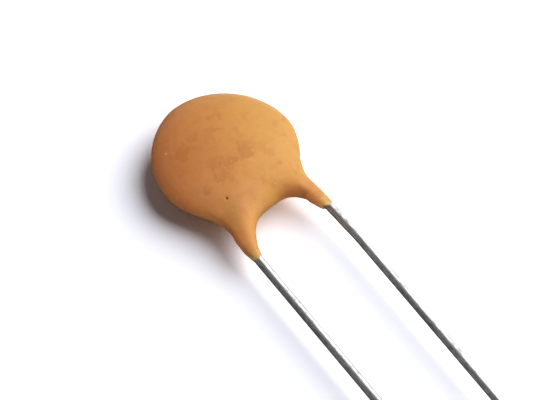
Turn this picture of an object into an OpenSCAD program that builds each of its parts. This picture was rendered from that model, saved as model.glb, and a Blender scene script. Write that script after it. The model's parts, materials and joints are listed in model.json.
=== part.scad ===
// Ceramic disc capacitor with two radial leads, lying flat on its dipped body.
// A fired-silver electrode covers each face of a ceramic disc, a wire is soldered to
// each electrode, and the whole is dipped in resin that runs a little way down the wires.
//
// Millimetres. The part lies in the XY plane, +Z is up and the leads run along -Y.
// The origin is midway between the two lead axes, where they enter a circuit board.
// The left lead (at -X) crosses the upper face of the disc, the right one the lower face.

/* [Leads] */
// Distance between the two lead axes
lead_pitch = 5; // [4.6:0.1:5.4]
// Diameter of the tinned wire
lead_d = 0.5; // [0.4:0.05:0.6]
// Free length of the left lead below its leg; the right lead is cut off level with it
lead_length = 25; // [10:1:40]
// Height of the left leg's tip above the circuit board that the leads go into
seat_gap = 2.5; // [2:0.1:4]
// Outward lean of the right lead where it leaves its leg, in degrees
splay_angle = 3; // [1:0.5:4]
// Distance from the right leg's tip to the bend that brings its lead back to parallel
splay_length = 2.5; // [1.5:0.1:2.7]
// Centre-line radius of that gentle bend
splay_radius = 15; // [5:1:25]
// How far below the disc's rim both wires turn in towards the faces
knee_drop = 0.75; // [0.6:0.05:0.9]
// Centre-line radius of the wires' bends inside the coating
knee_radius = 0.8; // [0.6:0.1:1]

/* [Ceramic disc] */
// Diameter of the ceramic disc
chip_d = 6; // [5.6:0.1:6.4]
// Thickness of the ceramic disc
chip_t = 0.5; // [0.4:0.05:0.7]
// Chamfer round both edges of the ceramic disc
chip_chamfer = 0.08; // [0.02:0.01:0.15]

/* [Electrodes and solder] */
// Thickness of each fired-silver layer
silver_t = 0.04; // [0.02:0.01:0.08]
// Bare ceramic left round each silver layer
bare_rim = 0.4; // [0.2:0.05:0.8]
// Diameter of each solder joint on its electrode
solder_d = 2.2; // [1.8:0.1:2.6]
// Solder over the top of the wire
solder_cover = 0.1; // [0.05:0.01:0.2]
// Distance of each solder joint to the side of the disc's middle
solder_offset = 0.7; // [0.4:0.1:1]
// Distance of each solder joint below the disc's middle, towards the leads
solder_drop = 0.3; // [0:0.1:0.8]
// Length of wire that shows past the middle of the solder joint
wire_tail = 0.9; // [0.5:0.1:1.2]

/* [Dipped coating] */
// Coating round the edge of the ceramic disc
rim_coat = 0.87; // [0.7:0.01:1.2]
// Coating over the wires at the middle of the disc
crown_coat = 0.65; // [0.5:0.05:0.9]
// Fullness of the body's section: 2 is an ellipse, more is flatter with a rounder rim
lens_power = 2.1; // [2:0.05:2.6]
// Sideways place of the body, from the middle between the leads
body_shift = -0.25; // [-0.3:0.05:0.3]
// Length of the coated leg on the left lead, below the disc's rim
left_leg = 2.2; // [1.6:0.05:3]
// Length of the coated leg on the right lead
right_leg = 1.6; // [1.3:0.05:2.1]
// Coating on the wire at the tip of a leg
tip_coat = 0.04; // [0.04:0.01:0.1]
// How much wider a leg's inner side is, 1 mm above the tip
leg_flare = 0.33; // [0.25:0.01:0.45]
// How suddenly that inner side widens: 1 is a straight taper, 2 a parabola
flare_power = 1.65; // [1.3:0.05:2]
// How much a leg's half-thickness grows for each millimetre up from its tip
leg_thickening = 0.2; // [0.15:0.01:0.3]
// How far a leg leans in for each millimetre above the point where its wire turns in
leg_lean = 0.12; // [0:0.02:0.2]
// Size of the fillets between the legs and the body
blend_width = 0.26; // [0.2:0.02:0.36]
// Gap left where a piece is fired, soldered or dipped onto another
bond_gap = 0.01; // [0.005:0.005:0.02]

/* [Smoothness] */
// Sides of the formed ends of the wires
wire_sides = 24; // [12:4:36]
// Steps round each of their bends
bend_steps = 5; // [3:1:8]
// Spokes round the free rim of the disc
rim_spokes = 72; // [36:4:96]
// Spokes across the root of each leg
leg_spokes = 8; // [8:2:12]
// Spokes along the rim between the legs
crotch_spokes = 10; // [6:2:16]
// Rings from the disc's middle to its rim
body_rings = 11; // [8:1:14]
// Rings down each leg
leg_rings = 10; // [6:1:14]

/* [Hidden] */

$fn = 48;
LEFT = -1;
RIGHT = 1;
FRONT = 1;
BACK = -1;

wire_r = lead_d / 2;
// A formed end is this much thinner than its rod, so that the two join without a seam
formed_inset = 0.002;
chip_r = chip_d / 2;
body_r = chip_r + rim_coat;
face_z = chip_t / 2 + silver_t;
// Half the thickness of the dipped body at its middle
body_h = face_z + lead_d + crown_coat;
// Level of the disc's lowest rim, from which both legs hang
rim_y = seat_gap + left_leg;
body_xy = [body_shift, rim_y + body_r];
// The two crossings lie on opposite faces of the disc
wire_z = face_z + wire_r + bond_gap / 2;
knee_y = rim_y - knee_drop;
cut_y = seat_gap - lead_length;
tip_w = wire_r + tip_coat;
right_tip_y = rim_y - right_leg;
splay_y = right_tip_y - splay_length;
// A wire's round rod stops at least this far short of its leg
rod_clear = 0.3;
// The legs stop widening this far inside the disc's rim, and sink away above it
leg_top_y = rim_y + 0.9;
leg_fade = 1;
// Where the outline turns from the disc onto a leg, measured from the disc's own circle
root_drop = 0.2;

function tip_y(side) = side == LEFT ? seat_gap : right_tip_y;
function unit(v) = v / norm(v);
function sum(v, i = 0) = i < len(v) ? v[i] + sum(v, i + 1) : 0;
function mix(a, b, t) = a + (b - a) * t;
function clamp(t, low, high) = min(max(t, low), high);

// ---- The wires: a route of corner points, with a bend radius at each inner one ----

// Sideways place of a lead's axis at height y, up to the knee inside the coating
function lead_x(side, y) = side == LEFT ? -lead_pitch / 2
    : lead_pitch / 2 - tan(splay_angle) * (clamp(y, splay_y, knee_y) - splay_y);

function solder_xy(side) = body_xy + [side * solder_offset, -solder_drop];

// The point on a wire's way in, seen in plan, where it is clear of the disc's edge
function landing_xy(side) =
    let (joint = solder_xy(side), way = unit([lead_x(side, knee_y), knee_y] - joint),
         off = joint - body_xy, along = off * way, reach = chip_r + wire_r)
    joint + way * (sqrt(along * along + reach * reach - off * off) - along);

function crossing(side, face) =
    let (joint = solder_xy(side), land = landing_xy(side), tail = joint + unit(joint - land) * wire_tail)
    [[lead_x(side, knee_y), knee_y, 0], [land.x, land.y, face * wire_z], [tail.x, tail.y, face * wire_z]];

left_route = concat([[-lead_pitch / 2, cut_y, 0]], crossing(LEFT, FRONT));
left_bends = [0, knee_radius, knee_radius, 0];
right_route = concat([[lead_pitch / 2, cut_y, 0], [lead_pitch / 2, splay_y, 0]], crossing(RIGHT, BACK));
right_bends = [0, splay_radius, knee_radius, knee_radius, 0];

// Heading from corner i of a route to the next, and the bend at it
function heading(route, i) = unit(route[i + 1] - route[i]);
function turn(route, i) = acos(heading(route, i - 1) * heading(route, i));
function trim(route, bends, i) = bends[i] * tan(turn(route, i) / 2);

// A bend as a list of [place, heading], from where it starts to where it ends
function bend(route, bends, i) =
    let (ahead = heading(route, i - 1), angle = turn(route, i),
         inward = unit(heading(route, i) - ahead * cos(angle)),
         middle = route[i] - ahead * trim(route, bends, i) + inward * bends[i])
    [for (j = [0 : bend_steps]) let (a = angle * j / bend_steps)
        [middle - (inward * cos(a) - ahead * sin(a)) * bends[i], ahead * cos(a) + inward * sin(a)]];

// A wire's straight rod ends short of its leg, and before its first bend
function rod_end(side, route, bends) =
    [route[0].x, min(bend(route, bends, 1)[0][0].y, tip_y(side) - rod_clear), 0];

// The formed end of a wire, which starts inside the rod
function formed_end(side, route, bends, extra) =
    let (last = len(route) - 1, end = heading(route, last - 1))
    concat([[rod_end(side, route, bends) - [0, wire_r, 0], [0, 1, 0]]],
           [for (i = [1 : last - 1]) each bend(route, bends, i)],
           [[route[last] + end * extra, end]]);

// A round tube through a list of [place, heading], which never heads straight up
module tube(stations, r) {
    rings = len(stations);
    points = [for (s = stations)
        let (side = unit(cross(s[1], [0, 0, 1])), up = cross(side, s[1]))
        for (i = [0 : wire_sides - 1]) let (a = 360 * i / wire_sides)
            s[0] + (side * cos(a) + up * sin(a)) * r];
    walls = [for (j = [0 : rings - 2], i = [0 : wire_sides - 1])
        let (n = j * wire_sides, next = (i + 1) % wire_sides)
        each quad(n + i, n + next, n + wire_sides + next, n + wire_sides + i)];
    near_end = [for (i = [wire_sides - 1 : -1 : 0]) i];
    far_end = [for (i = [0 : wire_sides - 1]) (rings - 1) * wire_sides + i];
    polyhedron(points = points, faces = concat(walls, [near_end, far_end]), convexity = 4);
}

// A wire: its straight rod and its formed end
module wire(side, route, bends, gap) {
    rod_top = rod_end(side, route, bends) + [0, gap, 0];
    translate(rod_top) rotate([90, 0, 0]) cylinder(h = rod_top.y - cut_y, r = wire_r + gap);
    tube(formed_end(side, route, bends, gap), wire_r - formed_inset + gap);
}

module left_wire(gap = 0) {
    wire(LEFT, left_route, left_bends, gap);
}

module right_wire(gap = 0) {
    wire(RIGHT, right_route, right_bends, gap);
}

// ---- The pieces inside the coating; gap grows each one for the hollow that holds it ----

module chip(gap = 0) {
    r = chip_r + gap;
    h = chip_t / 2 + gap;
    translate([body_xy.x, body_xy.y, 0])
        rotate_extrude()
            polygon([[0, -h], [r - chip_chamfer, -h], [r, chip_chamfer - h],
                     [r, h - chip_chamfer], [r - chip_chamfer, h], [0, h]]);
}

module silver(face, gap = 0) {
    translate([body_xy.x, body_xy.y, face == FRONT ? chip_t / 2 : -chip_t / 2 - silver_t - gap])
        cylinder(h = silver_t + gap, r = chip_r - bare_rim + gap);
}

// A round cap of solder that stands on its electrode and buries the wire
module solder_cap(side, face, gap = 0) {
    cap_r = solder_d / 2;
    cap_h = lead_d + solder_cover;
    ball_r = (cap_r * cap_r + cap_h * cap_h) / (2 * cap_h);
    joint = solder_xy(side);
    translate([joint.x, joint.y, 0]) mirror([0, 0, face == FRONT ? 0 : 1])
        intersection() {
            translate([0, 0, face_z + cap_h - ball_r]) sphere(r = ball_r + gap, $fn = 96);
            translate([0, 0, face_z]) cylinder(h = cap_h + 1, r = ball_r);
        }
}

// ---- The dipped skin ----
// Its half-thickness over a point of the plan is the square root of a bulge, which is
// positive inside the outline and zero on it, so the section is round at the rim.
// The disc and each leg have a bulge of their own, and a soft maximum fillets them.

function disc_bulge(p) = body_h * body_h * (1 - pow(norm(p - body_xy) / body_r, lens_power));

// A leg is an ellipse in section: straight outside, flared inside, and thicker higher up
function leg_x(side, y) = lead_x(side, y) - side * leg_lean * max(y - knee_y, 0);

function leg_bulge(side, p) =
    let (rise = clamp(p.y - tip_y(side), 0, leg_top_y - tip_y(side)),
         out = (p.x - leg_x(side, p.y)) * side,
         inner_w = tip_w + leg_flare * pow(rise, flare_power),
         half_w = (tip_w + inner_w) / 2,
         half_h = tip_w + leg_thickening * rise,
         above = max(p.y - leg_top_y, 0))
    (tip_w - out) * (inner_w + out) * pow(half_h / half_w, 2) - leg_fade * above * above;

function bulge(p) = blend_width * ln(sum([for (b = [disc_bulge(p), leg_bulge(LEFT, p), leg_bulge(RIGHT, p)])
    exp(b / blend_width)]));

function skin_z(p) = sqrt(max(bulge(p), 0));

// The rim point between a point inside the outline and one outside it, by halving
function rim_point(inside, outside, halvings = 30) =
    let (middle = (inside + outside) / 2)
    halvings == 0 ? middle
    : bulge(middle) > 0 ? rim_point(middle, outside, halvings - 1)
    : rim_point(inside, middle, halvings - 1);

// Rim point straight out from a leg's axis at height y, on its outer or inner side
function leg_rim(side, y, out) =
    let (axis = [leg_x(side, y), y], reach = out ? body_r : lead_pitch / 2)
    rim_point(axis, axis + [(out ? side : -side) * reach, 0]);

// Rim point in a direction from the body's middle
function body_rim(angle) = rim_point(body_xy, body_xy + [cos(angle), sin(angle)] * body_r * 1.5);
function angle_of(p) = atan2(p.y - body_xy.y, p.x - body_xy.x);

// Heights at which the outline leaves the disc for a leg, outside and inside the leads
function outer_root_y(side) =
    let (x = leg_x(side, rim_y) + side * tip_w - body_xy.x)
    body_xy.y - sqrt(body_r * body_r - x * x) - root_drop;
inner_root_y = rim_y - root_drop;

// Fractions from 0 to 1, close together at both ends
function eased(k, n) = (1 - cos(180 * k / n)) / 2;

// Plan points across a leg, from rim to rim, on ring l of its way down to the tip
function leg_row(side, l) =
    let (down = l / leg_rings,
         outer = leg_rim(side, mix(outer_root_y(side), tip_y(side), down), true),
         inner = leg_rim(side, mix(inner_root_y, tip_y(side), down), false),
         first = side == LEFT ? outer : inner,
         last = side == LEFT ? inner : outer)
    [for (k = [0 : leg_spokes]) mix(first, last, eased(k, leg_spokes))];

left_root = leg_row(LEFT, 0);
right_root = leg_row(RIGHT, 0);

// The ends of the spokes, anticlockwise from the right leg's outer side
function rim_ends(from, to, n) =
    let (start = angle_of(from), sweep = (angle_of(to) - start + 360) % 360)
    [for (i = [1 : n]) body_rim(start + sweep * mix(i / (n + 1), eased(i, n + 1), 0.35))];

spokes = concat(rim_ends(right_root[leg_spokes], left_root[0], rim_spokes), left_root,
                rim_ends(left_root[leg_spokes], right_root[0], crotch_spokes), right_root);
left_start = rim_spokes;
right_start = rim_spokes + leg_spokes + 1 + crotch_spokes;
spoke_count = len(spokes);

// Only the spokes between a leg's two sides end inside the outline
function on_leg(i) = (i > left_start && i < left_start + leg_spokes)
    || (i > right_start && i < right_start + leg_spokes);

function skin_point(p, on_rim) = [p.x, p.y, on_rim ? 0 : skin_z(p)];

body_points = [for (j = [1 : body_rings], i = [0 : spoke_count - 1])
    skin_point(mix(body_xy, spokes[i], sin(90 * j / body_rings)), j == body_rings && !on_leg(i))];

function leg_points(side) = [for (l = [1 : leg_rings]) let (row = leg_row(side, l))
    for (k = [0 : leg_spokes]) skin_point(row[k], k == 0 || k == leg_spokes)];

upper = concat([skin_point(body_xy, false)], body_points, leg_points(LEFT), leg_points(RIGHT));

// Numbers of the points: a ring of the body, and a row of a leg, whose first row is the root
left_base = 1 + len(body_points);
right_base = left_base + leg_rings * (leg_spokes + 1);
function ring_no(j, i) = 1 + (j - 1) * spoke_count + i % spoke_count;
function leg_no(side, l, k) = l == 0 ? ring_no(body_rings, (side == LEFT ? left_start : right_start) + k)
    : (side == LEFT ? left_base : right_base) + (l - 1) * (leg_spokes + 1) + k;

// The two halves share the points of the rim
function lower_no(n) = upper[n].z == 0 ? n : n + len(upper);
function quad(a, b, c, d) = [[a, b, c], [a, c, d]];
function flipped(face) = [for (i = [len(face) - 1 : -1 : 0]) lower_no(face[i])];

upper_faces = concat(
    [for (i = [0 : spoke_count - 1]) [0, ring_no(1, i + 1), ring_no(1, i)]],
    [for (j = [1 : body_rings - 1], i = [0 : spoke_count - 1])
        each quad(ring_no(j, i), ring_no(j, i + 1), ring_no(j + 1, i + 1), ring_no(j + 1, i))],
    [for (side = [LEFT, RIGHT], l = [0 : leg_rings - 1], k = [0 : leg_spokes - 1])
        each quad(leg_no(side, l, k), leg_no(side, l, k + 1),
                  leg_no(side, l + 1, k + 1), leg_no(side, l + 1, k))]);

// The flat end of a leg, round which the wire leaves
function tip_face(side) = concat(
    [for (k = [0 : leg_spokes]) leg_no(side, leg_rings, k)],
    [for (k = [leg_spokes - 1 : -1 : 1]) lower_no(leg_no(side, leg_rings, k))]);

module dipped_skin() {
    lower = [for (p = upper) [p.x, p.y, -p.z]];
    polyhedron(
        points = concat(upper, lower),
        faces = concat(upper_faces, [for (f = upper_faces) flipped(f)], [tip_face(LEFT), tip_face(RIGHT)]),
        convexity = 6);
}

// ---- The nodes ----

module coating() {
    color([0.82, 0.55, 0.29])
        difference() {
            dipped_skin();
            chip(bond_gap);
            silver(FRONT, bond_gap);
            silver(BACK, bond_gap);
            solder_cap(LEFT, FRONT, bond_gap);
            solder_cap(RIGHT, BACK, bond_gap);
            left_wire(bond_gap);
            right_wire(bond_gap);
        }
}

module ceramic_disc() {
    color([0.78, 0.72, 0.62]) chip();
}

module electrode_front() {
    color([0.85, 0.85, 0.83]) silver(FRONT);
}

module electrode_back() {
    color([0.85, 0.85, 0.83]) silver(BACK);
}

module solder_front() {
    color([0.66, 0.67, 0.69])
        difference() {
            solder_cap(LEFT, FRONT);
            left_wire(bond_gap);
        }
}

module solder_back() {
    color([0.66, 0.67, 0.69])
        difference() {
            solder_cap(RIGHT, BACK);
            right_wire(bond_gap);
        }
}

module lead_left() {
    color([0.72, 0.72, 0.7]) left_wire();
}

module lead_right() {
    color([0.72, 0.72, 0.7]) right_wire();
}

coating();
ceramic_disc();
electrode_front();
electrode_back();
solder_front();
solder_back();
lead_left();
lead_right();
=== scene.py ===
# %% [markdown]
# # A ceramic disc capacitor
# This is one of the plainest parts on a circuit board: a little ceramic disc with a silver
# electrode and a wire on each face, dipped in tan resin that runs down the wires as two legs.
# The CAD frame already holds every piece at its true size. Here the two kinds of piece that
# show, the dipped skin and the wires, are modelled again with a finer surface, and every
# piece gets a finish. All lengths are in metres, so a value in millimetres is times MM.

# %% The frame and a few units
import json
import math

import bmesh
import bpy
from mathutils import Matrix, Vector


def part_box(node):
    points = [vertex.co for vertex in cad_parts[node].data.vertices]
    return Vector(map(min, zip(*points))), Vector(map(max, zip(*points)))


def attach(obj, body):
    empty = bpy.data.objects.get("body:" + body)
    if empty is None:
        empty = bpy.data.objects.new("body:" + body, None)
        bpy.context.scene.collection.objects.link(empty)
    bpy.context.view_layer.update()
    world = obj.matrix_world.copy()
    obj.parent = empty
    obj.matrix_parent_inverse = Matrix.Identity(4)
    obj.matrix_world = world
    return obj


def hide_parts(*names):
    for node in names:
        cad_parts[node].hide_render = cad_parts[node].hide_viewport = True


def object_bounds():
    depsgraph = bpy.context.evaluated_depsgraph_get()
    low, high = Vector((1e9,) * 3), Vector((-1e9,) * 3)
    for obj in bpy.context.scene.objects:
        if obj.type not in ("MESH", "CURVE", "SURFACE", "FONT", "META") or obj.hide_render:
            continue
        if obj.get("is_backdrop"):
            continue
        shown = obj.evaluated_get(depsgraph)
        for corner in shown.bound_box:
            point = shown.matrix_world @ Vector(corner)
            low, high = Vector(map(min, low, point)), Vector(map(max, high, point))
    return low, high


MM = 0.001
LEFT, RIGHT = -1, 1
FRONT, BACK = 1, -1

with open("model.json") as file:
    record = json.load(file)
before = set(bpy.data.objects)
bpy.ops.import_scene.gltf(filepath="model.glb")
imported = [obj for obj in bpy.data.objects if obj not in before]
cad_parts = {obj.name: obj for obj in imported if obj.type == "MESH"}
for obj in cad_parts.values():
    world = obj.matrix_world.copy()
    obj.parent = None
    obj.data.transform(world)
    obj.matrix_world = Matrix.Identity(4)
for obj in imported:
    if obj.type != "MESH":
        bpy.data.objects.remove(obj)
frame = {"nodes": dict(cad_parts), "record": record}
cad_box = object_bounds()
nodes = frame["nodes"]
print("CAD nodes:", ", ".join(sorted(nodes)))
print("CAD size in mm:", [round((high - low) / MM, 2) for low, high in zip(*cad_box)])

# %% [markdown]
# ## The sizes that the pieces share
# What the frame can tell is read from it: the lead spacing and the wire's radius are in the
# record's mounts, and the boxes of the nodes give the disc and the dipped body. The rest are
# the maker's own dimensions, the same as in the CAD source.

# %% Sizes
lead_pair = next(mount for mount in frame["record"]["mounts"] if mount["name"] == "lead_pair")
LEAD_PITCH = lead_pair["dims"]["spacing_x_mm"] * MM
WIRE_R = lead_pair["dims"]["stud_r_mm"] * MM

chip_low, chip_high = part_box("ceramic_disc")
coat_low, coat_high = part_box("coating")

CHIP_R = (chip_high.x - chip_low.x) / 2
BODY = Vector(((chip_low.x + chip_high.x) / 2, (chip_low.y + chip_high.y) / 2, 0))
BODY_R = coat_high.y - BODY.y
BODY_H = coat_high.z
RIM_Y = BODY.y - BODY_R
FACE_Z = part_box("electrode_front")[1].z
CUT_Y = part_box("lead_left")[0].y
FLOOR_Z = coat_low.z

TIP_Y = {LEFT: coat_low.y, RIGHT: RIM_Y - 1.6 * MM}
SPLAY_ANGLE = math.radians(3)
SPLAY_Y = TIP_Y[RIGHT] - 2.5 * MM
SPLAY_RADIUS = 15 * MM
KNEE_Y = RIM_Y - 0.75 * MM
KNEE_RADIUS = 0.8 * MM
BOND_GAP = 0.01 * MM
SOLDER_OFFSET, SOLDER_DROP, WIRE_TAIL = 0.7 * MM, 0.3 * MM, 0.9 * MM
print("body radius", round(BODY_R / MM, 2), "mm, wire radius", round(WIRE_R / MM, 2), "mm")

# %% [markdown]
# ## Working by hand, in code
# Each operator acts on what is selected, so the first helpers select one object, open it for
# editing, and pick its faces, edges or points by their place. A modifier is made permanent as
# soon as it is set, because the next edit needs its result.

# %% Helpers for modelling


def pick(piece):
    """Selects one object and makes it the active one."""
    if bpy.context.mode != "OBJECT":
        bpy.ops.object.mode_set(mode="OBJECT")
    bpy.ops.object.select_all(action="DESELECT")
    piece.select_set(True)
    bpy.context.view_layer.objects.active = piece


def edit(piece, kind="FACE"):
    """Opens a piece for editing with nothing selected."""
    pick(piece)
    bpy.ops.object.mode_set(mode="EDIT")
    bpy.ops.mesh.select_mode(type=kind)
    bpy.ops.mesh.select_all(action="DESELECT")


def select_where(piece, test, kind="FACE"):
    """Selects the faces, edges or points of the edited piece that pass a test."""
    mesh = bmesh.from_edit_mesh(piece.data)
    for face in mesh.faces:
        face.select_set(False)
    elements = {"FACE": mesh.faces, "EDGE": mesh.edges, "VERT": mesh.verts}[kind]
    chosen = [element for element in elements if test(element)]
    for element in chosen:
        element.select_set(True)
    mesh.select_flush_mode()
    bmesh.update_edit_mesh(piece.data)
    return len(chosen)


def done(piece):
    """Closes an edited piece and hands it back."""
    bpy.ops.object.mode_set(mode="OBJECT")
    return piece


def modify(piece, kind, **settings):
    """Adds a modifier with its settings and applies it at once."""
    pick(piece)
    modifier = piece.modifiers.new(kind.title(), kind)
    for name, value in settings.items():
        setattr(modifier, name, value)
    bpy.ops.object.modifier_apply(modifier=modifier.name)


def settle(piece):
    """Puts a finished piece's place into its mesh, so that its object sits at the origin."""
    pick(piece)
    bpy.ops.object.transform_apply(location=True, rotation=True, scale=True)


def triangles(piece):
    return sum(len(face.vertices) - 2 for face in piece.data.polygons)


# %% [markdown]
# ## The wires
# A radial lead is drawn copper-clad steel, hot-dipped in tin. Below its leg it is straight. A
# curve object with a round bevel could give it, but a circle that is extruded along the
# straights and spun round the bends shows how the wire was really formed: straight, bend,
# straight, bend. The corners come from the same rule as in the CAD source.

# %% Where the wires run


def lead_x(side, y):
    """Sideways place of a lead's axis at height y: the right one leans out near its leg."""
    if side == LEFT:
        return -LEAD_PITCH / 2
    lean = min(max(y, SPLAY_Y), KNEE_Y) - SPLAY_Y
    return LEAD_PITCH / 2 - math.tan(SPLAY_ANGLE) * lean


def axis_point(side, y):
    """A point on a lead's axis, below the resin's knee."""
    return Vector((lead_x(side, y), y, 0))


def crossing(side, face):
    """The corners of a wire inside the coating: its knee, where it lands, and its tail."""
    knee = axis_point(side, KNEE_Y)
    joint = BODY + Vector((side * SOLDER_OFFSET, -SOLDER_DROP, 0))
    way = (knee - joint).normalized()
    off = joint - BODY
    along = off.dot(way)
    reach = CHIP_R + WIRE_R
    landing = joint + way * (math.sqrt(along**2 + reach**2 - off.dot(off)) - along)
    rise = Vector((0, 0, face * (FACE_Z + WIRE_R + BOND_GAP / 2)))
    tail = joint + (joint - landing).normalized() * WIRE_TAIL
    return [knee, landing + rise, tail + rise]


left_route = [axis_point(LEFT, CUT_Y), *crossing(LEFT, FRONT)]
left_radii = [KNEE_RADIUS, KNEE_RADIUS]
right_route = [axis_point(RIGHT, CUT_Y), axis_point(RIGHT, SPLAY_Y), *crossing(RIGHT, BACK)]
right_radii = [SPLAY_RADIUS, KNEE_RADIUS, KNEE_RADIUS]
print("corners of the wires:", len(left_route), "and", len(right_route))

# %% Drawing and bending a wire
WIRE_SIDES = 40
BEND_STEPS = 10
CUT_BEVEL = 0.025 * MM
CUT_SHARPNESS = math.radians(40)
MERGE = 0.0005 * MM


def draw_wire(name, route, radii):
    """A round wire along a route of corners, with a bend of its own radius at each inner one."""
    bpy.ops.mesh.primitive_circle_add(
        vertices=WIRE_SIDES,
        radius=WIRE_R,
        fill_type="NGON",
        location=route[0],
        rotation=(math.pi / 2, 0, 0),
    )
    piece = bpy.context.object
    piece.name = piece.data.name = name
    settle(piece)
    edit(piece)
    bpy.ops.mesh.select_all(action="SELECT")
    place = route[0]
    for corner, after, radius in zip(route[1:], route[2:], radii):
        ahead = (corner - place).normalized()
        onward = (after - corner).normalized()
        angle = ahead.angle(onward)
        start = corner - ahead * radius * math.tan(angle / 2)
        bpy.ops.mesh.extrude_region_move(TRANSFORM_OT_translate={"value": start - place})
        inward = (onward - ahead * math.cos(angle)).normalized()
        axis = ahead.cross(onward).normalized()
        bpy.ops.mesh.spin(steps=BEND_STEPS, angle=-angle, center=start + inward * radius, axis=axis)
        place = corner + onward * radius * math.tan(angle / 2)
    bpy.ops.mesh.extrude_region_move(TRANSFORM_OT_translate={"value": route[-1] - place})
    bpy.ops.mesh.select_all(action="SELECT")
    bpy.ops.mesh.remove_doubles(threshold=MERGE)
    bpy.ops.mesh.normals_make_consistent(inside=False)
    return done(piece)


def crop_end(piece):
    """Gives the cropped end the small round edge that the cutters leave."""
    edit(piece, "EDGE")
    select_where(piece, lambda edge: all(abs(vert.co.y - CUT_Y) < MERGE for vert in edge.verts), "EDGE")
    bpy.ops.mesh.bevel(offset=CUT_BEVEL, segments=3, affect="EDGES")
    done(piece)
    pick(piece)
    bpy.ops.object.shade_smooth_by_angle(angle=CUT_SHARPNESS)


def misfit(piece, node):
    """The most that a piece's box is off its CAD node's box, in millimetres."""
    corners = [Vector(corner) for corner in piece.bound_box]
    off = [(mine - cad)[i] for mine, cad in zip((corners[0], corners[6]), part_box(node)) for i in range(3)]
    return round(max(abs(step) for step in off) / MM, 4)


wire_left = draw_wire("wire_left", left_route, left_radii)
wire_right = draw_wire("wire_right", right_route, right_radii)
for wire, node in ((wire_left, "lead_left"), (wire_right, "lead_right")):
    crop_end(wire)
    print(wire.name, triangles(wire), "triangles, off its CAD box by", misfit(wire, node), "mm")

# %% [markdown]
# ## The dipped skin: a guide and a hollow
# The resin is one skin with a wire-shaped and disc-shaped hollow in it. The hollow could be
# cut with a Boolean, but the CAD node holds it already, in one closed solid with the outside.
# So a copy of that solid is opened at the two leg ends, where skin and hollow meet, and falls
# into two shells: the outer one serves as a guide to shape the new surface on, and the inner
# one is kept as the wall of the hollow.

# %% Opening a copy of the CAD coating
TIP_DEPTH = 0.05 * MM
FACES_DOWN = -0.99


def at_leg_end(point):
    """Whether a point lies on one of the two flat leg ends."""
    side = LEFT if point.x < BODY.x else RIGHT
    return abs(point.y - TIP_Y[side]) < TIP_DEPTH


pick(nodes["coating"])
bpy.ops.object.duplicate()
guide = bpy.context.object
guide.name = "skin_guide"
edit(guide, "VERT")
bpy.ops.mesh.select_all(action="SELECT")
bpy.ops.mesh.remove_doubles(threshold=MERGE)
bpy.ops.mesh.customdata_custom_splitnormals_clear()
bpy.ops.mesh.select_mode(type="FACE")
opened = select_where(
    guide, lambda face: face.normal.y < FACES_DOWN and at_leg_end(face.calc_center_median())
)
bpy.ops.mesh.delete(type="FACE")
bpy.ops.mesh.separate(type="LOOSE")
done(guide)
shells = sorted(bpy.context.selected_objects, key=lambda shell: shell.dimensions.z)
hollow, guide = shells
hollow.name, guide.name = "hollow", "skin_guide"
print("opened", opened, "faces; shells:", [(shell.name, triangles(shell)) for shell in shells])

# %% [markdown]
# ## The dipped skin: a lens with two legs
# The dip leaves a lens over the disc, and a tapered leg where the resin ran down each wire.
# A ball of quads, made from a cube, has no poles to pinch, as a UV sphere has, so it takes the
# lens shape well. Each leg begins as a circle round its wire, is drawn up towards the rim and
# joined to a hole there.

# %% The lens
LENS_CUTS = 15
HOLE_HALF_WIDTH, HOLE_HALF_HEIGHT = 0.78 * MM, 0.62 * MM

bpy.ops.mesh.primitive_cube_add(size=2 * BODY_R, location=BODY)
skin = bpy.context.object
skin.name = skin.data.name = "dipped_coating"
edit(skin)
bpy.ops.mesh.select_all(action="SELECT")
bpy.ops.mesh.subdivide(number_cuts=LENS_CUTS)
done(skin)
modify(skin, "CAST", cast_type="SPHERE", factor=1, use_radius_as_size=False, size=BODY_R)
pick(skin)
bpy.ops.transform.resize(value=(1, 1, BODY_H / BODY_R))
settle(skin)
print("lens:", len(skin.data.polygons), "quads")

# %% The legs
TIP_COAT = 0.04 * MM
LEG_RISES = (0.35, 0.6, 0.6, 0.5)
LEG_GROWTH = (1.25, 1.25, 1.25, 1.2)


def leg_tip(side):
    """The middle of a leg's end, on the axis of its wire."""
    return axis_point(side, TIP_Y[side])


def open_on_side(edge, side):
    """Whether an edge borders a hole, on one side of the body's middle."""
    return edge.is_boundary and all((vert.co.x - BODY.x) * side > 0 for vert in edge.verts)


def at_root(face, side):
    """Whether a face of the lens lies where a leg meets its rim."""
    middle = face.calc_center_median()
    beside = abs(middle.x - lead_x(side, RIM_Y)) < HOLE_HALF_WIDTH
    return beside and abs(middle.z) < HOLE_HALF_HEIGHT and middle.y < BODY.y - BODY_R / 3


def grow_leg(side):
    """Draws a flaring tube up round a wire and joins it to a hole in the lens's rim."""
    edit(skin)
    select_where(skin, lambda face: at_root(face, side))
    bpy.ops.mesh.delete(type="FACE")
    bpy.ops.mesh.select_mode(type="EDGE")
    sides = select_where(skin, lambda edge: open_on_side(edge, side), "EDGE")
    done(skin)
    bpy.ops.mesh.primitive_circle_add(
        vertices=sides, radius=WIRE_R + TIP_COAT, location=leg_tip(side), rotation=(math.pi / 2, 0, 0)
    )
    leg = bpy.context.object
    settle(leg)
    edit(leg, "EDGE")
    bpy.ops.mesh.select_all(action="SELECT")
    for rise, growth in zip(LEG_RISES, LEG_GROWTH):
        bpy.ops.mesh.extrude_region_move(TRANSFORM_OT_translate={"value": (0, rise * MM, 0)})
        bpy.ops.transform.resize(value=(growth, 1, growth))
    done(leg)
    pick(skin)
    leg.select_set(True)
    bpy.ops.object.join()
    edit(skin, "EDGE")
    select_where(skin, lambda edge: edge.is_boundary and not at_leg_end(edge.verts[0].co), "EDGE")
    bpy.ops.mesh.bridge_edge_loops()
    done(skin)
    print("leg", side, "with", sides, "sides")


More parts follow.
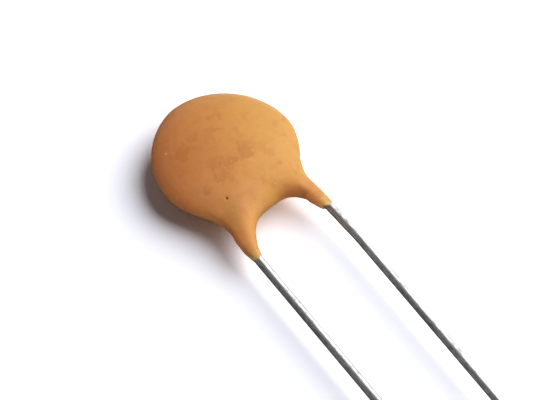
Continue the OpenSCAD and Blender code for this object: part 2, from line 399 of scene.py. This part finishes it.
for side in (LEFT, RIGHT):
    grow_leg(side)
edit(skin)
bpy.ops.mesh.select_all(action="SELECT")
bpy.ops.mesh.normals_make_consistent(inside=False)
done(skin)

# %% [markdown]
# ## The dipped skin: an even net
# Wet resin bridges the corners between body and legs with soft saddles. A voxel remesh would
# blend them too, but it blurs the thin leg ends. Smoothing and wrapping by turns let the new
# faces slide into an even net that lies on the guide. A subdivision and a last smoothing of
# the saddles make the skin as round as the resin leaves it.

# %% Wrapping the net on the guide
RELAX_ROUNDS = 8
SADDLE_LOW = 3.4 * MM
SADDLE_HIGH = 6.0 * MM
SADDLE_ROUNDS = 14


def relax(test, rounds):
    """Smooths the points of the skin that pass a test."""
    edit(skin, "VERT")
    select_where(skin, test, "VERT")
    bpy.ops.mesh.vertices_smooth(factor=0.5, repeat=rounds)
    done(skin)


def wrap():
    modify(skin, "SHRINKWRAP", target=guide, wrap_method="NEAREST_SURFACEPOINT")


def refine():
    modify(skin, "SUBSURF", levels=1, render_levels=1)


for _ in range(RELAX_ROUNDS):
    relax(lambda vert: not (vert.is_boundary and at_leg_end(vert.co)), 2)
    wrap()
refine()
wrap()
relax(lambda vert: SADDLE_LOW < vert.co.y < SADDLE_HIGH, SADDLE_ROUNDS)
print("wrapped net:", len(skin.data.polygons), "quads")

# %% [markdown]
# ## The dipped skin: pulled one by one
# No dip is a true lens. The resin hangs fuller where the part hung lowest as it drained, the
# necks over the legs are tighter, and each leg carries a soft ridge and a belly. Lattices
# could do this, but proportional editing moves a soft region with one point, like a thumb on
# clay: each pull names a point, and a move and a reach in millimetres.

# %% Points to pull at
FAR_RIM = BODY + Vector((-0.15, 1, 0)).normalized() * BODY_R
RIGHT_RIM = BODY + Vector((1, -0.05, 0)).normalized() * BODY_R
LEFT_RIM = BODY - Vector((1, 0, 0)) * BODY_R
RIGHT_NECK = axis_point(RIGHT, RIM_Y) + Vector((0.75, 0.35, 0)) * MM
LEFT_NECK = axis_point(LEFT, RIM_Y) + Vector((-0.70, 0.10, 0)) * MM
print("far rim pulled at", [round(part / MM, 2) for part in FAR_RIM], "mm")


def near_leg(side, y, across, up):
    """A point beside a leg's axis at height y, all in millimetres."""
    return axis_point(side, y * MM) + Vector((across, 0, up)) * MM


# %% Pulls on the skin
# Point, move and reach.
RIM_PULLS = (
    (FAR_RIM, (-0.02, 0.14, 0), 3.2),
    (RIGHT_RIM, (0.11, 0, 0), 2.4),
    (LEFT_RIM, (-0.04, 0, 0), 2.4),
    (RIGHT_NECK, (-0.12, -0.02, 0), 0.8),
    (LEFT_NECK, (0.10, 0.06, 0), 0.7),
)
# Side, push of the belly outwards, and rise of the ridge.
LEG_SWELLS = ((LEFT, 0.09, 0.05), (RIGHT, 0.15, 0.08))
RIDGE_HEIGHTS = (3.2, 3.6, 4.0, 4.4, 4.8)
RIDGE_OUT, RIDGE_UP, RIDGE_SPREAD, RIDGE_REACH = 0.38, 0.22, 0.12, 0.5
BELLY_HEIGHT, BELLY_OUT, BELLY_REACH = 3.3, 0.35, 0.7
# Side, height, across and up from the axis, move and reach.
FLANK_PULLS = (
    (LEFT, 3.85, -0.55, 0.10, (-0.12, 0, 0), 0.5),
    (RIGHT, 3.65, -0.52, 0.10, (-0.10, 0, 0), 0.5),
    (RIGHT, 3.95, -0.62, 0.10, (-0.10, 0, 0), 0.45),
    (RIGHT, 4.80, -0.85, 0.60, (0, -0.13, 0.11), 0.9),
    (RIGHT, 4.95, -1.40, 0.55, (0, -0.08, 0.08), 0.9),
)


def pull(piece, point, move, reach, falloff="SMOOTH"):
    """Moves the nearest point of a piece, and softly all that lies within reach of it."""
    edit(piece, "VERT")
    mesh = bmesh.from_edit_mesh(piece.data)
    nearest = min(mesh.verts, key=lambda vert: (vert.co - point).length)
    nearest.select_set(True)
    bmesh.update_edit_mesh(piece.data)
    bpy.ops.transform.translate(
        value=Vector(move) * MM,
        use_proportional_edit=True,
        proportional_edit_falloff=falloff,
        proportional_size=reach * MM,
    )
    done(piece)


for point, move, reach in RIM_PULLS:
    pull(skin, point, move, reach)
for side, bulge, swell in LEG_SWELLS:
    for y in RIDGE_HEIGHTS:
        spread = RIDGE_SPREAD * (y - RIDGE_HEIGHTS[0])
        crest = near_leg(side, y, -RIDGE_OUT - spread, RIDGE_UP + spread / 2)
        pull(skin, crest, (-0.02, 0, swell), RIDGE_REACH)
    pull(skin, near_leg(side, BELLY_HEIGHT, -BELLY_OUT, 0), (-bulge, 0, 0), BELLY_REACH)
for side, y, across, up, move, reach in FLANK_PULLS:
    pull(skin, near_leg(side, y, across, up), move, reach)
refine()
print("skin:", triangles(skin), "triangles")

# %% [markdown]
# ## The dipped skin: unevenness
# Resin that is dipped and drained is never as true as a turned shape. Two soft cloud
# patterns, a slow one and a fine one, move the skin by a few hundredths of a millimetre. A
# real bump is worth more here than one in the material, because it also shows in the outline.

# %% Waves in the skin
# Name, size and height, in millimetres.
WAVES = (("slow", 1.7, 0.05), ("fine", 0.55, 0.012))

for name, size, height in WAVES:
    clouds = bpy.data.textures.new("resin_" + name, "CLOUDS")
    clouds.noise_scale = size * MM
    clouds.noise_depth = 1
    modify(skin, "DISPLACE", texture=clouds, texture_coords="LOCAL", mid_level=0.5, strength=height * MM)
    print(name, "waves:", height, "mm high")

# %% [markdown]
# ## The dipped skin: closed round the hollow
# The skin and the wall of the hollow are two open shells with a rim at each leg end. Filling
# both rims with a face would shut the wire out, so each pair is bridged with a ring of faces:
# the cut edge of the film round the wire. After that no edge may be open.

# %% Closing the skin round the hollow
pick(skin)
hollow.select_set(True)
bpy.ops.object.join()
edit(skin, "EDGE")
for side in (LEFT, RIGHT):
    select_where(skin, lambda edge: open_on_side(edge, side), "EDGE")
    bpy.ops.mesh.bridge_edge_loops()
print("open edges:", select_where(skin, lambda edge: not edge.is_manifold, "EDGE"))
done(skin)
bpy.data.objects.remove(guide)

# %% [markdown]
# ## The dipped skin: leg ends and a pinhole
# The last of the resin creeps down the wire as a thin film, further on one side than on the
# other, so a leg never ends in a clean circle. A bubble that burst while the resin dried has
# left a pinhole. Both are pulled like the rims before, with a short reach.

# %% Film ends and pinhole
PINHOLE = (-1.99, 5.99)
PINHOLE_PULL = (0.015, 0.01, -0.07)
PINHOLE_REACH = 0.08
SKIN_SHARPNESS = math.radians(45)
# For each leg: the angle round the wire in degrees, the move along it, and the reach.
FILM_PULLS = {
    LEFT: ((110, -0.10, 0.40), (20, 0.17, 0.26), (205, 0.10, 0.26), (300, -0.12, 0.35)),
    RIGHT: ((95, -0.20, 0.40), (5, 0.06, 0.22), (200, 0.08, 0.24), (290, 0.12, 0.35)),
}


def on_top(spot):
    """The point of the skin over a place in the plane, both in millimetres there."""
    above = Vector((spot[0] * MM, spot[1] * MM, 1))
    return skin.ray_cast(above, Vector((0, 0, -1)))[1]


for side, pulls in FILM_PULLS.items():
    for turn, move, reach in pulls:
        around = Vector((math.cos(math.radians(turn)), 0, math.sin(math.radians(turn))))
        pull(skin, leg_tip(side) + around * (WIRE_R + TIP_COAT), (0, move, 0), reach)
pull(skin, on_top(PINHOLE), PINHOLE_PULL, PINHOLE_REACH, "SPHERE")
pick(skin)
bpy.ops.object.shade_smooth_by_angle(angle=SKIN_SHARPNESS)
print("coating:", triangles(skin), "triangles")

# %% [markdown]
# ## Shader maths in Python
# A finish is a small node tree. The Value class wraps a socket and overloads the operators,
# so a mask can be written as an expression, and each operation adds its own Math node. The
# Nodes class works on any tree, a material's or the world's, with one method for any other
# node, and the Finish class adds the material and the masks that the finishes here share.

# %% Values


class Value:
    """A socket that can stand in Python sums."""

    def __init__(self, nodes, socket):
        self.nodes = nodes
        self.socket = socket

    def __add__(self, other):
        return self.nodes.math("ADD", self, other)

    def __sub__(self, other):
        return self.nodes.math("SUBTRACT", self, other)

    def __rsub__(self, other):
        return self.nodes.math("SUBTRACT", other, self)

    def __mul__(self, other):
        return self.nodes.math("MULTIPLY", self, other)

    __radd__ = __add__
    __rmul__ = __mul__


# %% Node trees


class Nodes:
    """A node tree that is filled from Python."""

    def __init__(self, tree):
        self.tree = tree

    def node(self, kind, settings=None, sockets=None, out=0):
        """Adds a node: its settings first, then what its sockets hold or are linked to."""
        made = self.tree.nodes.new(kind)
        for name, setting in (settings or {}).items():
            setattr(made, name, setting)
        for name, content in (sockets or {}).items():
            if isinstance(content, Value):
                self.tree.links.new(content.socket, made.inputs[name])
            else:
                made.inputs[name].default_value = content
        return Value(self, made.outputs[out])

    def math(self, operation, *terms):
        return self.node("ShaderNodeMath", {"operation": operation}, dict(enumerate(terms)))

    def vector(self, operation, *terms, out="Vector"):
        return self.node("ShaderNodeVectorMath", {"operation": operation}, dict(enumerate(terms)), out)

    def mix(self, factor, dark, light):
        """A colour between two, which are colours or sockets."""
        sockets = {0: factor, 6: self.rgba(dark), 7: self.rgba(light)}
        return self.node("ShaderNodeMix", {"data_type": "RGBA"}, sockets, out=2)

    def rgba(self, colour):
        return colour if isinstance(colour, Value) else (*colour, 1)

    def either(self, masks):
        """Where any of several masks is."""
        joined = masks[0]
        for mask in masks[1:]:
            joined = self.math("MAXIMUM", joined, mask)
        return joined

    def seen(self):
        """1 for camera, mirror and glass rays, and 0 for the rays that light the object."""
        kinds = ("Camera", "Glossy", "Transmission")
        return self.either([self.node("ShaderNodeLightPath", out=f"Is {kind} Ray") for kind in kinds])

    def step(self, value, low, high):
        """Rises smoothly from 0 at low to 1 at high."""
        sockets = {"Value": value, "From Min": low, "From Max": high}
        return self.node("ShaderNodeMapRange", {"interpolation_type": "SMOOTHSTEP"}, sockets)


# %% Finishes
# Where a streak begins to fade and where it is gone, as squares of its half size.
STREAK_EDGE = (0.1, 1.6)


class Finish(Nodes):
    """A material, and the masks that its finish is built from, all in millimetres."""

    def __init__(self, name, **look):
        self.material = bpy.data.materials.new(name)
        self.material.use_nodes = True
        super().__init__(self.material.node_tree)
        self.shader = self.tree.nodes["Principled BSDF"]
        for plain_name, number in look.items():
            self.socket(plain_name).default_value = number
        place = self.node("ShaderNodeTexCoord", out="Object")
        self.place = self.node("ShaderNodeMapping", {}, {"Vector": place, "Scale": (1 / MM,) * 3})

    def socket(self, name):
        """The shader's socket for a plain name, such as base_color."""
        plain = name.replace("_", " ")
        return next(socket for socket in self.shader.inputs if socket.name.lower() == plain)

    def noise(self, scale, detail=2, roughness=0.5, distortion=0, place=None):
        """Clouds from 0 to 1, with about so many to a millimetre."""
        sockets = {"Vector": place or self.place, "Scale": scale, "Detail": detail}
        sockets.update({"Roughness": roughness, "Distortion": distortion})
        return self.node("ShaderNodeTexNoise", {}, sockets)

    def wobble(self, scale, reach, detail):
        """The place, pushed about by up to a reach, so that a mask's edge gets ragged."""
        sockets = {"Vector": self.place, "Scale": scale, "Detail": detail}
        clouds = self.node("ShaderNodeTexNoise", {}, sockets, out="Color")
        push = self.vector("SUBTRACT", clouds, (0.5,) * 3)
        return self.vector("MULTIPLY_ADD", push, (reach * 2,) * 3, self.place)

    def spot(self, centre, radius, soft, place=None):
        """A round mask about a point, with a soft edge."""
        distance = self.vector("DISTANCE", place or self.place, centre, out="Value")
        return 1 - self.step(distance, radius - soft, radius + soft)

    def streak(self, centre, angle, length, width, place):
        """A slim oval mask in the plane, turned by an angle in degrees, with half sizes."""
        off = self.vector("SUBTRACT", place, centre)
        cos, sin = math.cos(math.radians(angle)), math.sin(math.radians(angle))
        along = self.vector("DOT_PRODUCT", off, (cos / length, sin / length, 0), out="Value")
        across = self.vector("DOT_PRODUCT", off, (-sin / width, cos / width, 0), out="Value")
        return 1 - self.step(along * along + across * across, *STREAK_EDGE)

    def bump(self, height, depth, under=None):
        """Raises the surface by a depth where the height is 1, on top of another bump."""
        sockets = {"Height": height, "Distance": depth * MM, "Strength": 1}
        if under:
            sockets["Normal"] = under
        return self.node("ShaderNodeBump", {}, sockets)

    def drive(self, **sockets):
        """Links what varies over the surface to the shader."""
        for name, value in sockets.items():
            self.tree.links.new(value.socket, self.socket(name))

    def give(self, piece):
        """Makes this the only finish of a piece."""
        piece.data.materials.clear()
        piece.data.materials.append(self.material)


# %% [markdown]
# ## The dipped resin
# The coating is a tan phenolic resin, filled with mineral powder: opaque, satin, and a little
# mottled where one dip lies over another. It thins to a yellower film at the ends of the
# legs, nearly cream at the right one, where the cream is partly a painted highlight. Part of
# its colour is painted light and shade: painted shade makes it redder towards the left and on
# the left sides of the legs, and darker in the pinhole, the creases and the dents under some
# blotches; painted light makes the web between the legs paler and adds pale flecks as glints.
# It could be painted on an unwrapped image, but masks that are placed in space need no seam
# and stay sharp from near by. All are measured in millimetres from the object's origin.

# %% Resin tones
# GOLD is the resin's tone where the key lamp falls; the red tone below it is painted shade, for the shaded
# left of the body and of the legs.
GOLD = (0.660, 0.334, 0.066)
PAINTED_SHADE_RED = (0.61, 0.226, 0.062)
UMBER = (0.44, 0.155, 0.030)
PALE = (0.78, 0.46, 0.20)
FILM = (0.76, 0.45, 0.12)
CREAM_AND_HIGHLIGHT = (0.85, 0.69, 0.35)
# The pinhole's near-black is painted shade.
PINHOLE_PAINTED_SHADE = (0.06, 0.022, 0.012)
# How strongly each kind of darker mark darkens the resin: most are stains, but the creases and part of the
# blotches are painted shade.
CLOUD_STAIN = 0.21
MOTTLE_STAIN = 0.14
BROWN_ZONE_STRENGTH = 0.19
BLOTCH_AND_DENT_STRENGTH = 0.46
CREASE_SHADE_STRENGTH = 0.40
STREAK_STAIN = 0.36
print("tones from", PAINTED_SHADE_RED, "to", GOLD)

# %% Places of the marks
DOME_Z = 1.25
# Middle and radius of each darker patch: partly a blotch in the resin, partly painted shade over a shallow
# dent.
BLOTCH_AND_DENT_SPOTS = (
    (0.20, 7.60, 0.50),
    (-0.75, 7.55, 0.42),
    (-1.55, 7.95, 0.36),
    (-2.45, 9.40, 0.45),
    (-1.50, 9.75, 0.32),
    (-1.85, 7.20, 0.26),
    (-1.45, 7.05, 0.22),
    (0.10, 10.35, 0.20),
    (1.40, 6.10, 0.30),
    (-2.60, 6.90, 0.38),
)
# Middle, angle, half length and half width of each darker streak.
STREAKS = (
    (-1.52, 7.00, 54, 0.45, 0.13),
    (-1.83, 7.29, 50, 0.34, 0.12),
    (-1.28, 9.75, 70, 0.45, 0.16),
    (-0.35, 9.62, -30, 0.60, 0.10),
    (0.45, 10.16, 58, 0.36, 0.11),
)
PALE_SPECK = (-2.98, 10.07, 0.86)
# A broad browner zone on the left of the dome.
BROWN_ZONE_CENTRE = (-1.90, 8.60, DOME_Z)
# Painted light: a paler spot on the web between the legs, for the light that the white sheet throws back.
WEB_LIGHT_SPOT = (-0.90, 5.30, 0.80)
# Middle and radius of each spot of painted shade, redder, on the shaded left sides of the legs.
LEG_SHADE_SPOTS = (
    (-2.95, 3.3, 0.0, 0.40),
    (-3.05, 4.1, 0.0, 0.55),
    (1.95, 3.8, 0.0, 0.45),
    (1.75, 4.5, 0.0, 0.65),
    (1.10, 4.8, 0.3, 0.45),
)
PIT = (*PINHOLE, 0.88)
LEFT_TIP, RIGHT_TIP = (leg_tip(side) / MM for side in (LEFT, RIGHT))
print(len(BLOTCH_AND_DENT_SPOTS), "patches,", len(STREAKS), "streaks and", len(LEG_SHADE_SPOTS), "runs")

# %% Masks of the resin
resin = Finish("dipped_resin_finish", roughness=0.5, specular_ior_level=0.3, subsurface_weight=0.45)
resin.socket("subsurface_radius").default_value = (1.0, 0.32, 0.12)
resin.socket("subsurface_scale").default_value = 0.45 * MM

ragged = resin.wobble(3.0, 0.55, detail=5)
frayed = resin.wobble(5.0, 0.25, detail=3)
across = resin.vector("DOT_PRODUCT", resin.place, (1, -0.4, 0), out="Value")
# Painted shade: the resin is painted redder towards the left, the side turned away from the key lamp, and
# golden towards the lit right.
painted_lit_side = resin.step(across + resin.noise(0.4, detail=3) * 2, -7.5, 0.5)
clouds = resin.step(resin.noise(1.15, detail=4, roughness=0.62, distortion=0.3), 0.50, 0.68)
mottle = resin.step(resin.noise(2.8, detail=5, roughness=0.7), 0.42, 0.72)
grain = resin.noise(5.5, detail=3, roughness=0.6)
brown_zone = resin.spot(BROWN_ZONE_CENTRE, 1.2, 0.7, ragged)
# Partly real blotches, partly painted shade where the bump below makes shallow dents.
blotches_and_dent_shade = resin.either([resin.spot((x, y, DOME_Z), radius, 0.18, ragged) for x, y, radius in BLOTCH_AND_DENT_SPOTS])
streaks = resin.either([resin.streak((x, y, 0), *shape, frayed) for x, y, *shape in STREAKS])
# Painted shade: redder spots on the left sides of the legs, which face away from the key lamp.
runs = resin.either([resin.spot(middle, radius, 0.35) for *middle, radius in LEG_SHADE_SPOTS])
# Painted shade: thin lines, pressed in by the bump below, are painted darker, as shade lying in the
# grooves.
lines = resin.math("ABSOLUTE", resin.noise(3.2, detail=1, distortion=0.9) - 0.5)
crease_shade = (1 - resin.step(lines, 0, 0.02)) * resin.step(resin.noise(1.6, detail=1), 0.60, 0.68)
print("nodes for the darker marks:", len(resin.tree.nodes))

# %% Specks, painted light and shade, and film of the resin
# Painted highlights: sparse pale flecks stand for small glints on the resin's fine peel.
grid = {"Vector": resin.place, "Scale": 2.4}
cells = resin.node("ShaderNodeTexVoronoi", {}, grid)
chance = resin.node("ShaderNodeTexVoronoi", {}, grid, out="Color")
painted_glints = (1 - resin.step(cells, 0.07, 0.13)) * resin.step(chance, 0.62, 0.66)
# Painted light: the web between the legs is painted paler, as if lit by the sheet.
web_light = resin.spot(WEB_LIGHT_SPOT, 0.8, 0.6)
# One pale speck in the resin, together with the painted glints and the painted light on the web.
pale_speck_and_painted_light = resin.either([resin.spot(PALE_SPECK, 0.055, 0.03), painted_glints * 0.45, web_light * 0.12])
# Painted shade: the pinhole is painted almost black, for the shade inside it.
pinhole_shade = resin.spot(PIT, 0.06, 0.03)
film = resin.either([resin.spot(tip, 0.46, 0.16, ragged) for tip in (LEFT_TIP, RIGHT_TIP)])
# At the right leg's end the film is painted cream: partly a thin film, partly a painted highlight.
thinnest_film_and_highlight = resin.spot(RIGHT_TIP, 0.28, 0.14, ragged)
print("nodes with the specks and the film:", len(resin.tree.nodes))

# %% Resin finish
soft_marks = clouds * CLOUD_STAIN + mottle * MOTTLE_STAIN + brown_zone * BROWN_ZONE_STRENGTH
sharp_marks = [blotches_and_dent_shade * BLOTCH_AND_DENT_STRENGTH, crease_shade * CREASE_SHADE_STRENGTH, streaks * STREAK_STAIN]
# Darker marks: stains in the resin, with the painted shade of the creases and of the dents under some
# blotches.
stains_and_painted_shade = resin.either([soft_marks, *sharp_marks])
# Painted shade: the colour runs from the red of the shaded left and of the legs' shaded sides to the gold
# of the lit right.
colour = resin.mix(painted_lit_side - runs, PAINTED_SHADE_RED, GOLD)
# In turn: stains and painted shade, a pale speck with painted light, the leg-end film, the cream that is
# partly a painted highlight, and the pinhole's painted shade.
layers = (
    (stains_and_painted_shade, UMBER),
    (pale_speck_and_painted_light, PALE),
    (film * 0.65, FILM),
    (thinnest_film_and_highlight * 0.6, CREAM_AND_HIGHLIGHT),
    (pinhole_shade, PINHOLE_PAINTED_SHADE),
)
for mask, tone in layers:
    colour = resin.mix(mask, colour, tone)

waves = resin.bump(resin.noise(1.1, detail=1), 0.03)
marks = resin.bump(1 - resin.either([blotches_and_dent_shade * 0.6, crease_shade]), 0.012, waves)
peel = resin.bump(grain, 0.005, marks)
resin.drive(base_color=colour, roughness=0.46 + grain * 0.14 - film * 0.18, normal=peel)
resin.give(skin)
print("nodes in the resin finish:", len(resin.tree.nodes))

# %% [markdown]
# ## Tinned wire
# The lead is bright where the tin is thick and dull where it has worn, with fine marks along
# it from the drawing die. A metal shows its surroundings, so most of its look comes from the
# lamps and the dark card below; its own nodes only vary the tone and the gloss. The noise is
# stretched along the wire by a Mapping node, which costs less than an anisotropic shader.

# %% Wire finish
TIN = (0.80, 0.79, 0.75)
DULL_TIN = (0.32, 0.31, 0.29)

tin = Finish("tinned_wire_finish", metallic=1, roughness=0.3)
drawn = tin.node("ShaderNodeMapping", {}, {"Vector": tin.place, "Scale": (1, 0.35, 1)})
die_marks = tin.step(tin.noise(9, detail=4, roughness=0.75, place=drawn), 0.40, 0.62)
patches = tin.step(tin.noise(2.4, detail=3, roughness=0.6, distortion=0.5, place=drawn), 0.44, 0.60)
worn = die_marks * 0.5 + patches * 0.5
tin.drive(
    base_color=tin.mix(worn, TIN, DULL_TIN),
    roughness=0.28 + patches * 0.12 + die_marks * 0.24,
    normal=tin.bump(worn, 0.002),
)
for wire in (wire_left, wire_right):
    tin.give(wire)
    print(wire.name, "has the finish", tin.material.name)

# %% [markdown]
# ## The pieces under the resin
# They don't show until the coating is taken off, and they are still finished as the real ones
# are: a fired ceramic disc, a silver film with a fine sintered grain on each face, and a
# flattened, slightly rippled pool of solder over each wire. Their CAD shapes are right, so
# the nodes stay, and each kind gets a small finish of one or two noises.

# %% Inner finishes
CERAMIC, CERAMIC_SPECK = (0.52, 0.43, 0.33), (0.40, 0.31, 0.23)
SILVER, TARNISH = (0.80, 0.79, 0.75), (0.58, 0.54, 0.46)
SOLDER, SOLDER_GREY = (0.62, 0.63, 0.64), (0.44, 0.45, 0.47)


def fired_ceramic():
    ceramic = Finish("fired_ceramic_finish", roughness=0.55)
    speck = ceramic.noise(7, detail=4, roughness=0.7)
    ceramic.drive(
        base_color=ceramic.mix(ceramic.step(speck, 0.5, 0.75), CERAMIC, CERAMIC_SPECK),
        roughness=0.45 + speck * 0.25,
        normal=ceramic.bump(speck, 0.006),
    )
    return ceramic


def fired_silver():
    silver = Finish("fired_silver_finish", metallic=1, roughness=0.45)
    grain = silver.noise(14, detail=3, roughness=0.6)
    patches = silver.step(silver.noise(0.8, detail=3), 0.45, 0.75)
    silver.drive(
        base_color=silver.mix(patches * 0.7, SILVER, TARNISH),
        roughness=0.4 + grain * 0.2,
        normal=silver.bump(grain, 0.004),
    )
    return silver


def solder_pool():
    solder = Finish("solder_finish", metallic=1, roughness=0.3)
    ripple = solder.noise(1.8, detail=3, roughness=0.5, distortion=0.8)
    solder.drive(
        base_color=solder.mix(ripple, SOLDER, SOLDER_GREY),
        roughness=0.2 + ripple * 0.25,
        normal=solder.bump(ripple, 0.03),
    )
    return solder


inner_finishes = {"ceramic_disc": fired_ceramic(), "electrode": fired_silver(), "solder": solder_pool()}
for name, node in nodes.items():
    for family, finish in inner_finishes.items():
        if name.startswith(family):
            finish.give(node)
            print(name, "has the finish", finish.material.name)

# %% [markdown]
# ## What moves, and what stands for what
# Nothing moves on a capacitor, so every piece rides on the one body. The new skin and wires
# stand for their CAD nodes, which are hidden.

# %% Riding and replacing
for piece, node, slot in (
    (skin, "coating", "dipped_resin"),
    (wire_left, "lead_left", "tinned_wire"),
    (wire_right, "lead_right", "tinned_wire"),
):
    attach(piece, "root")
    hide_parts(node)
    print(piece.name, "stands for", node)

# %% [markdown]
# ## The table and the light
# The part lies on a white sheet. The sheet bounces light as real paper does, but is shown
# whiter than that to the camera and in reflections, as when a camera is set for the darker
# resin, and it keeps the part's shadow. Brighter lamps could whiten it too, but they would
# bleach the resin.

# %% The white sheet
FLOOR_SIZE = 2.0
SHEET_WHITE = (0.85, 0.85, 0.86)
SHEET_SEEN = 2.30

bpy.ops.mesh.primitive_plane_add(size=FLOOR_SIZE, location=(BODY.x, BODY.y, FLOOR_Z))
floor = bpy.context.object
floor.name = "floor"
sheet = Finish("white_sheet", roughness=0.9, specular_ior_level=0.1)
sheet.drive(base_color=sheet.mix(sheet.seen(), SHEET_WHITE, [SHEET_SEEN * part for part in SHEET_WHITE]))
sheet.give(floor)
floor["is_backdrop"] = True
print("sheet:", FLOOR_SIZE, "m wide, at", round(FLOOR_Z / MM, 2), "mm")

# %% [markdown]
# ## The lamps
# The key lamp is large and stands at the right, for a soft shadow. Two weak lamps light the
# resin only, so that the shadow stays deep: one from above, and one low in front that stands
# for the light which more white paper would throw back. A brighter world could fill in too,
# but would wash out the shadow.

# %% Lamps
LAMP_DISTANCE = 1.2
# Sizes and powers are given as for a lamp at 0.3 m, and grow with the distance.
REACH = LAMP_DISTANCE / 0.3
# Azimuth, elevation, size, power, colour.
KEY = (-10, 40, 0.42, 1.34, (0.92, 0.93, 1))
FILL = (205, 70, 0.25, 0.38, (1, 0.84, 0.95))
BOUNCE = (-95, 10, 0.30, 0.14, (1, 0.86, 0.88))


def soft_lamp(name, azimuth, elevation, size, power, colour):
    """A round lamp aimed at the body; azimuth 0 stands along +X and 90 along +Y."""
    turn, rise = math.radians(azimuth), math.radians(elevation)
    way = Vector((math.cos(turn) * math.cos(rise), math.sin(turn) * math.cos(rise), math.sin(rise)))
    data = bpy.data.lights.new(name, "AREA")
    data.shape = "DISK"
    data.size = size * REACH
    data.energy = power * REACH**2
    data.color = colour
    lamp = bpy.data.objects.new(name, data)
    lamp.location = BODY + way * LAMP_DISTANCE
    lamp.rotation_euler = way.to_track_quat("Z", "Y").to_euler()
    bpy.context.scene.collection.objects.link(lamp)
    print(name, "gives", round(data.energy, 1), "W from", azimuth, elevation)
    return lamp


soft_lamp("key_lamp", *KEY)
only_resin = bpy.data.collections.new("only_resin")
only_resin.objects.link(skin)
for lamp in (soft_lamp("fill_lamp", *FILL), soft_lamp("bounce_lamp", *BOUNCE)):
    lamp.light_linking.receiver_collection = only_resin

# %% [markdown]
# ## A dark side for the metal
# Bright metal shows its surroundings and nothing else, and on a white table it would melt
# into the white. So half of the room is dark: black card starts on the table under the
# wires, rises at the left and comes back overhead. Only mirror rays see it, so it takes no
# light from the part and never stands in a picture.

# %% The dark side of the room
CARD_EDGE = LEAD_PITCH / 2 + 0.2 * MM
CARD_WALL = -0.15
CARD_HEIGHT = 0.20
CARD_OVERHANG = 0.05
CARD_LENGTH = 0.5
CARD_LIFT = 0.05 * MM
BLACK, WORN_BLACK = (0.12, 0.118, 0.11), (0.17, 0.168, 0.16)

card_middle = ((CARD_EDGE + CARD_WALL) / 2, BODY.y, FLOOR_Z + CARD_LIFT)
bpy.ops.mesh.primitive_plane_add(size=1, location=card_middle)
card = bpy.context.object
card.name = "dark_card"
pick(card)
bpy.ops.transform.resize(value=(CARD_EDGE - CARD_WALL, CARD_LENGTH, 1))
settle(card)
edit(card, "EDGE")
select_where(card, lambda edge: all(vert.co.x < CARD_WALL / 2 for vert in edge.verts), "EDGE")
bpy.ops.mesh.extrude_region_move(TRANSFORM_OT_translate={"value": (0, 0, CARD_HEIGHT)})
bpy.ops.mesh.extrude_region_move(TRANSFORM_OT_translate={"value": (CARD_OVERHANG - CARD_WALL, 0, 0)})
done(card)
felt = Finish("black_felt", roughness=0.95)
felt.drive(base_color=felt.mix(felt.noise(0.05), BLACK, WORN_BLACK))
felt.give(card)
card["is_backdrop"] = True
for kind in ("camera", "diffuse", "shadow", "transmission"):
    setattr(card, f"visible_{kind}", False)
print("card:", len(card.data.polygons), "faces")

# %% [markdown]
# ## The room
# A white room stands round the sheet, seen as a cool white where the sheet ends and in the
# metal. As a source of light it is weak and a little blue, because its evenly spread light
# fills the shadow: that small rest is what lights the floor beside the part's shaded side.

# %% World light
AMBIENT = 0.046
SKY = (0.88, 0.91, 1.0)

world = bpy.data.worlds.new("room")
bpy.context.scene.world = world
world.use_nodes = True
background = world.node_tree.nodes["Background"]
background.inputs["Color"].default_value = (*SKY, 1)
room = Nodes(world.node_tree)
strength = AMBIENT + room.seen() * (1 - AMBIENT)
world.node_tree.links.new(strength.socket, background.inputs["Strength"])
print("room: strength 1 where it is seen,", AMBIENT, "where it lights")

# %% [markdown]
# ## The camera
# It looks down over the part from the left with a long lens, so that the view is almost
# parallel. It could be placed by eye, but it is worked out from the size that a millimetre
# and the place that the body have in a picture, so it needs no shift of the lens.

# %% Camera
SCALE = 19.25 / MM
IMAGE_WIDTH, IMAGE_HEIGHT = 560, 400
BODY_PIXEL = (225.85, 157.1)
LENS, SENSOR = 400, 36
CAMERA_AZIMUTH, CAMERA_ELEVATION = math.radians(-35.5), math.radians(57.4)

camera_right = Vector((math.cos(CAMERA_AZIMUTH), math.sin(CAMERA_AZIMUTH), 0))
ahead = Vector((-math.sin(CAMERA_AZIMUTH), math.cos(CAMERA_AZIMUTH), 0))
camera_up = ahead * math.sin(CAMERA_ELEVATION) + Vector((0, 0, math.cos(CAMERA_ELEVATION)))
towards_camera = Vector((0, 0, math.sin(CAMERA_ELEVATION))) - ahead * math.cos(CAMERA_ELEVATION)
right_shift = (IMAGE_WIDTH / 2 - BODY_PIXEL[0]) / SCALE
down_shift = (IMAGE_HEIGHT / 2 - BODY_PIXEL[1]) / SCALE
aim = BODY + camera_right * right_shift - camera_up * down_shift
distance = IMAGE_WIDTH / SCALE * LENS / SENSOR

camera_data = bpy.data.cameras.new("camera")
camera_data.lens = LENS
camera_data.sensor_width = SENSOR
camera_data.clip_end = 5
camera = bpy.data.objects.new("camera", camera_data)
camera.location = aim + towards_camera * distance
camera.rotation_euler = towards_camera.to_track_quat("Z", "Y").to_euler()
bpy.context.scene.collection.objects.link(camera)
bpy.context.scene.camera = camera
bpy.context.scene.view_settings.view_transform = "Standard"
print("camera at", [round(part / MM, 1) for part in camera.location], "mm")

# %% [markdown]
# ## The two sizes
# Both boxes, of the visual model and of the CAD model, are printed, with how much larger the visual one is.
# The visual model may not outgrow the CAD model.

# %% Sizes written down
visual_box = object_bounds()
spans = [[high - low for low, high in zip(*box)] for box in (visual_box, cad_box)]
growth = [round((visual - cad) / MM, 3) for visual, cad in zip(*spans)]
print("visual model is larger than the CAD model by", growth, "mm")
